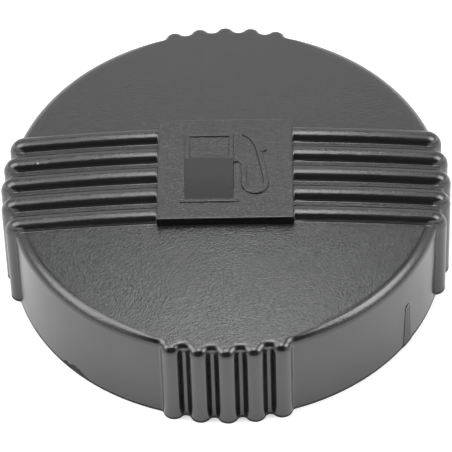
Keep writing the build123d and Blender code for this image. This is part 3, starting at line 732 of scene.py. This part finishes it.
studio = {
    "floorSize": 3.0, "floorColour": (0.93, 0.93, 0.93), "floorRough": 0.8, "floorLift": 0.44,
    "worldFill": 0.15, "worldWhite": 1.0,
}
softboxes = {
    # power is the brightness of the lamp's face
    "topSoftbox": {"place": (0.0, 0.155, 1.0), "target": (0.0, 0.0, 0.0), "size": (0.30, 0.76), "power": 5.8},
    "leftSoftbox": {"place": (-0.68, -0.09, 0.82), "target": (0.0, 0.0, 0.02), "size": (0.66, 0.86), "power": 4.3},
    "rightSoftbox": {"place": (0.74, -0.10, 0.77), "target": (0.0, 0.0, 0.02), "size": (0.58, 0.60), "power": 5.7},
    "backSoftbox": {"place": (0.0, 1.22, 0.87), "target": (0.0, 0.0, 0.02), "size": (1.46, 0.72), "power": 0.15},
}
darkCards = {
    "gapCard": {"places": ((-0.42, 0.72, 1.26), (0.42, 0.72, 1.26)), "size": (0.56, 0.50), "grey": 0.05},
    "frontCard": {"places": ((0.0, -1.05, 1.0),), "size": (2.6, 2.0), "grey": 0.03},
}
cardTarget = (0.0, 0.0, 0.02)


def seenMask(tree, place):
    # one for the camera's rays and for reflections, nought for the light that falls on things
    path = addNode(tree, "ShaderNodeLightPath", place)
    mirrored = mathNode(tree, "MAXIMUM", path.outputs["Is Glossy Ray"], path.outputs["Is Transmission Ray"],
                        (place[0] + 200, place[1] - 50))
    return mathNode(tree, "MAXIMUM", path.outputs["Is Camera Ray"], mirrored, (place[0] + 350, place[1]))


def makeFloor():
    # pale floor; for the camera and for reflections a little white is added, so it ends in the white around it
    side = studio["floorSize"] / 2.0
    corners = np.array([[(-side, -side, 0.0), (-side, side, 0.0)], [(side, -side, 0.0), (side, side, 0.0)]])
    floor = gridMesh("studioFloor", corners[:, ::-1], smooth=False)
    material, tree, shader = startMaterial("floorPaper")
    shader.inputs["Base Color"].default_value = (*studio["floorColour"], 1.0)
    shader.inputs["Roughness"].default_value = studio["floorRough"]
    shader.inputs["Emission Color"].default_value = (1.0, 1.0, 1.0, 1.0)
    lift = mathNode(tree, "MULTIPLY", seenMask(tree, (0, -300)), studio["floorLift"], (500, -300))
    tree.links.new(lift, shader.inputs["Emission Strength"])
    floor.data.materials.append(material)


def makeWorld():
    # even fill light, and plain white where the camera or a reflection sees the background
    world = bpy.data.worlds.new("studioWorld")
    bpy.context.scene.world = world
    world.use_nodes = True
    tree = world.node_tree
    tree.nodes.clear()
    output = addNode(tree, "ShaderNodeOutputWorld", (600, 0))
    mix = addNode(tree, "ShaderNodeMixShader", (300, 0))
    tree.links.new(seenMask(tree, (-300, 300)), mix.inputs["Fac"])
    for slot, strength in ((1, studio["worldFill"]), (2, studio["worldWhite"])):
        background = addNode(tree, "ShaderNodeBackground", (0, 350 - 200 * slot))
        background.inputs["Color"].default_value = (1.0, 1.0, 1.0, 1.0)
        background.inputs["Strength"].default_value = strength
        tree.links.new(background.outputs[0], mix.inputs[slot])
    tree.links.new(mix.outputs[0], output.inputs["Surface"])


def makeSoftbox(name, look):
    # area lamp that faces a point; its energy gives its face the wanted brightness
    wide, deep = look["size"]
    lamp = bpy.data.lights.new(name, "AREA")
    lamp.shape = "RECTANGLE"
    lamp.size, lamp.size_y = wide, deep
    lamp.energy = look["power"] * math.pi * wide * deep
    box = bpy.data.objects.new(name, lamp)
    centre = Vector(look["place"])
    aim = Vector(look["target"]) - centre
    box.matrix_world = Matrix.Translation(centre) @ aim.to_track_quat("-Z", "Y").to_matrix().to_4x4()
    bpy.context.scene.collection.objects.link(box)


def makeCard(name, look, place):
    # dull dark card that the camera doesn't see: it keeps light off one side, as in a studio
    centre = Vector(place)
    right = Vector((1.0, 0.0, 0.0))
    up = (Vector(cardTarget) - centre).normalized().cross(right).normalized()
    halfX, halfY = look["size"][0] / 2.0, look["size"][1] / 2.0
    corners = [[tuple(centre + right * halfX * i + up * halfY * j) for j in (-1, 1)] for i in (-1, 1)]
    card = gridMesh(name, np.array(corners), smooth=False)
    material, tree, shader = startMaterial(name + "Cloth")
    shader.inputs["Base Color"].default_value = (look["grey"],) * 3 + (1.0,)
    shader.inputs["Roughness"].default_value = 1.0
    card.data.materials.append(material)
    card.visible_camera = False


shot = {
    "azimuth": -88.697, "elevation": 47.76, "roll": -1.929, "distance": 0.700,
    "lens": 247.1, "sensor": 36.0, "aimHeight": 0.012, "aimRight": -0.000150, "aimUp": -0.002421,
}


def makeCamera():
    # looks back at the cap from a turn round it and a rise over it, then rolls a little
    turn, rise, roll = (math.radians(shot[key]) for key in ("azimuth", "elevation", "roll"))
    back = Vector((math.cos(rise) * math.cos(turn), math.cos(rise) * math.sin(turn), math.sin(rise)))
    level = (-back).cross(Vector((0.0, 0.0, 1.0))).normalized()
    upright = level.cross(-back)
    right = math.cos(roll) * level + math.sin(roll) * upright
    up = -math.sin(roll) * level + math.cos(roll) * upright
    aim = Vector((0.0, 0.0, shot["aimHeight"])) + right * shot["aimRight"] + up * shot["aimUp"]
    place = Matrix((right, up, back)).transposed().to_4x4()
    place.translation = aim + back * shot["distance"]
    data = bpy.data.cameras.new("shotCamera")
    data.sensor_width = shot["sensor"]
    data.sensor_fit = "HORIZONTAL"
    data.lens = shot["lens"]
    data.clip_start, data.clip_end = 0.01, 20.0
    camera = bpy.data.objects.new("shotCamera", data)
    camera.matrix_world = place
    bpy.context.scene.collection.objects.link(camera)
    bpy.context.scene.camera = camera


makeFloor()
makeWorld()
for name, look in softboxes.items():
    makeSoftbox(name, look)
for name, look in darkCards.items():
    for place in look["places"]:
        makeCard(name, look, place)
makeCamera()
bpy.context.scene.view_settings.view_transform = "Standard"
print("floor, light and camera set")
